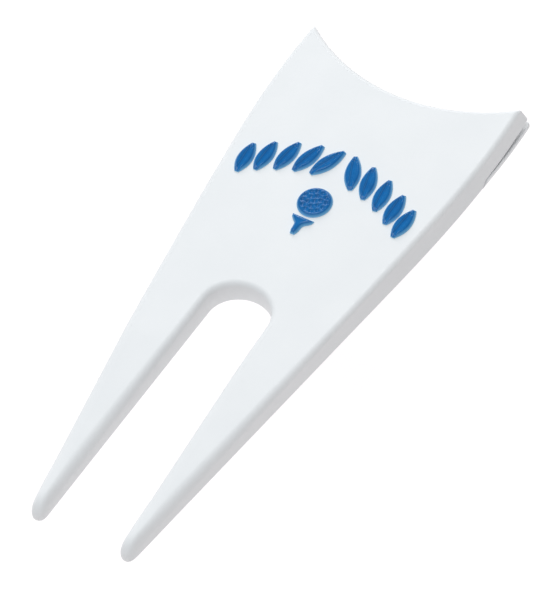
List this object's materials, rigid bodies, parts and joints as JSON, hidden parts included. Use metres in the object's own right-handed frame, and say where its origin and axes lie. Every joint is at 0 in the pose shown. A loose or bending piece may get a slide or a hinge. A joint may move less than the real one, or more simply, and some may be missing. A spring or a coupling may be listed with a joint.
{
  "type": "divot repair tool",
  "caption": "Flat two-pronged turf fork with a concave end, a sprung clip on its back and a round magnetic marker held in the clip.",
  "frame": {"origin": "on the surface the tool lies on, below the middle of its length and width", "axes": "+X across the tool, +Y from the prong tips to the concave end, +Z out of the front face that carries the emblem"},
  "size_m": [0.0314, 0.0764, 0.0045],
  "materials": {
    "white_coat": "satin white powder coat on zinc alloy",
    "clip_coat": "satin white coat on spring steel",
    "rivet_steel": "satin",
    "magnet_nickel": "nickel plated",
    "marker_steel": "turned and polished",
    "blue_enamel": "glossy enamel"
  },
  "bodies": {
    "fork": {"fork_body": "white_coat", "clip_foot": "clip_coat", "rivet_left": "rivet_steel", "rivet_right": "rivet_steel", "magnet": "magnet_nickel", "emblem_ball": "blue_enamel", "emblem_tee": "blue_enamel", "emblem_leaf_left_1": "blue_enamel", "emblem_leaf_left_2": "blue_enamel", "emblem_leaf_left_3": "blue_enamel", "emblem_leaf_left_4": "blue_enamel", "emblem_leaf_left_5": "blue_enamel", "emblem_leaf_right_1": "blue_enamel", "emblem_leaf_right_2": "blue_enamel", "emblem_leaf_right_3": "blue_enamel", "emblem_leaf_right_4": "blue_enamel", "emblem_leaf_right_5": "blue_enamel"},
    "clip": {"clip_leaf": "clip_coat"},
    "marker": {"ball_marker": "marker_steel", "marker_inlay": "blue_enamel"}
  },
  "joints": [
    {"name": "clip_flex", "type": "hinge", "parent": "fork", "child": "clip", "pos_m": [0, 0.00585, 0.00112], "axis": [-1, 0, 0], "range_deg": [0, 8], "stiffness_Nm_per_rad": 0.9},
    {"name": "marker_pull", "type": "slide", "parent": "clip", "child": "marker", "axis": [0, 0, -1], "range_m": [0, 0.012]}
  ]
}
